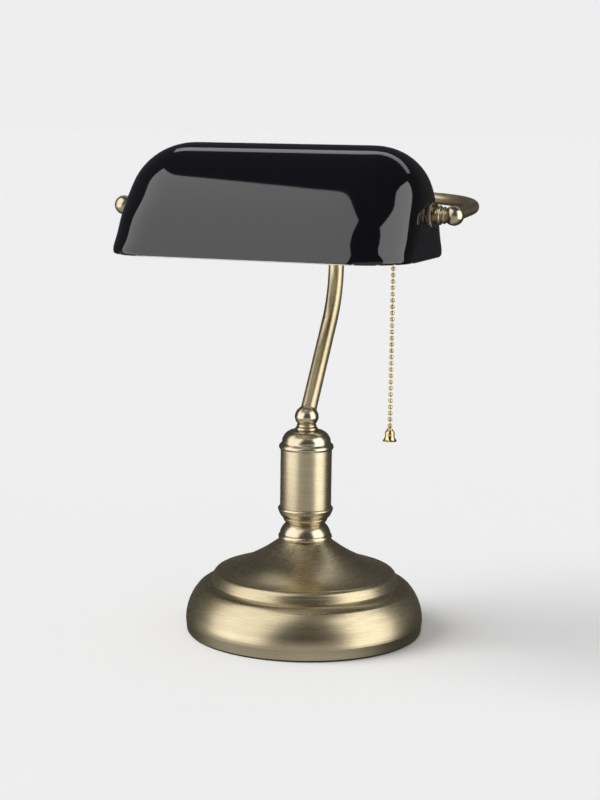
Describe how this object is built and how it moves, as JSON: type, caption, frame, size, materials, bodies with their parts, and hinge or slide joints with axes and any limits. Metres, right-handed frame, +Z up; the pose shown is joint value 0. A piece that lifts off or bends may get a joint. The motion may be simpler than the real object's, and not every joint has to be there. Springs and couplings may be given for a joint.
{
  "type": "banker desk lamp",
  "caption": "Free-standing banker desk lamp with a weighted round base, a bent arm, a tilting black glass shade and a pull-chain switch.",
  "frame": {"origin": "centre of the foot, on the face of the felt pad that stands on the desk", "axes": "+X along the shade towards the lampholder's end, +Y towards the back of the lamp, +Z up"},
  "size_m": [0.2664, 0.2266, 0.3709],
  "materials": {
    "brushed_antique_brass": "brushed",
    "polished_antique_brass": "polished",
    "satin_antique_brass": "satin",
    "copper_washer": "satin",
    "gold_brass": "polished",
    "black_cased_glass": "polished",
    "cast_iron": "rough",
    "zinc_steel": "satin",
    "felt": "matte",
    "black_rubber": "matte",
    "lead_sheath": "satin",
    "nylon": "satin",
    "porcelain": "gloss",
    "phenolic": "satin",
    "contact_brass": "satin",
    "opal_glass": "satin",
    "cap_aluminium": "satin"
  },
  "bodies": {
    "base": {"felt_pad": "felt", "base_shell": "brushed_antique_brass", "base_weight": "cast_iron", "cord_grommet": "black_rubber", "threaded_rod": "zinc_steel", "base_washer": "zinc_steel", "rod_nuts": "zinc_steel", "base_lead": "lead_sheath", "neck_collar": "polished_antique_brass", "lower_cup": "polished_antique_brass", "column_tube": "brushed_antique_brass", "column_disc": "zinc_steel", "column_cap": "polished_antique_brass"},
    "arm": {"ball_elbow": "polished_antique_brass", "swivel_nut": "zinc_steel", "arm_tube": "satin_antique_brass", "bow_tube": "satin_antique_brass", "arm_ferrule": "polished_antique_brass", "right_ball_fitting": "polished_antique_brass", "left_ball_fitting": "polished_antique_brass", "right_nipple": "contact_brass", "left_nipple": "contact_brass", "right_copper_washer": "copper_washer", "left_copper_washer": "copper_washer", "right_inner_washer": "zinc_steel", "left_inner_washer": "zinc_steel", "left_end_nut": "polished_antique_brass", "arm_lead": "lead_sheath", "holder_cap": "satin_antique_brass", "holder_lock_nut": "zinc_steel", "holder_shell": "satin_antique_brass", "switch_block": "phenolic", "holder_insulator": "porcelain", "screw_contact": "contact_brass", "centre_contact": "contact_brass", "chain_guide": "gold_brass", "bulb_cap": "cap_aluminium", "bulb_glass": "opal_glass"},
    "shade": {"glass_shade": "black_cased_glass", "right_glass_bush": "nylon", "left_glass_bush": "nylon"},
    "switch": {"switch_plunger": "gold_brass"},
    "chain_link": {"chain_coupling": "gold_brass"},
    "chain": {"bead_chain": "gold_brass", "bell_pull": "gold_brass"}
  },
  "joints": [
    {"name": "arm_swivel", "type": "hinge", "parent": "base", "child": "arm", "pos_m": [0, 0, 0.155], "axis": [0, 0, 1], "range_deg": [-90, 90]},
    {"name": "shade_tilt", "type": "hinge", "parent": "arm", "child": "shade", "pos_m": [0, -0.054, 0.3235], "axis": [1, 0, 0], "range_deg": [-35, 35]},
    {"name": "switch_pull", "type": "slide", "parent": "arm", "child": "switch", "axis": [0, 0, -1], "range_m": [0, 0.006], "stiffness_N_per_m": 600},
    {"name": "chain_swing_side", "type": "hinge", "parent": "switch", "child": "chain_link", "pos_m": [0.083, -0.054, 0.2936], "axis": [0, 1, 0], "range_deg": [-12, 12]},
    {"name": "chain_swing_front", "type": "hinge", "parent": "chain_link", "child": "chain", "pos_m": [0.083, -0.054, 0.2936], "axis": [1, 0, 0], "range_deg": [-12, 12]}
  ]
}
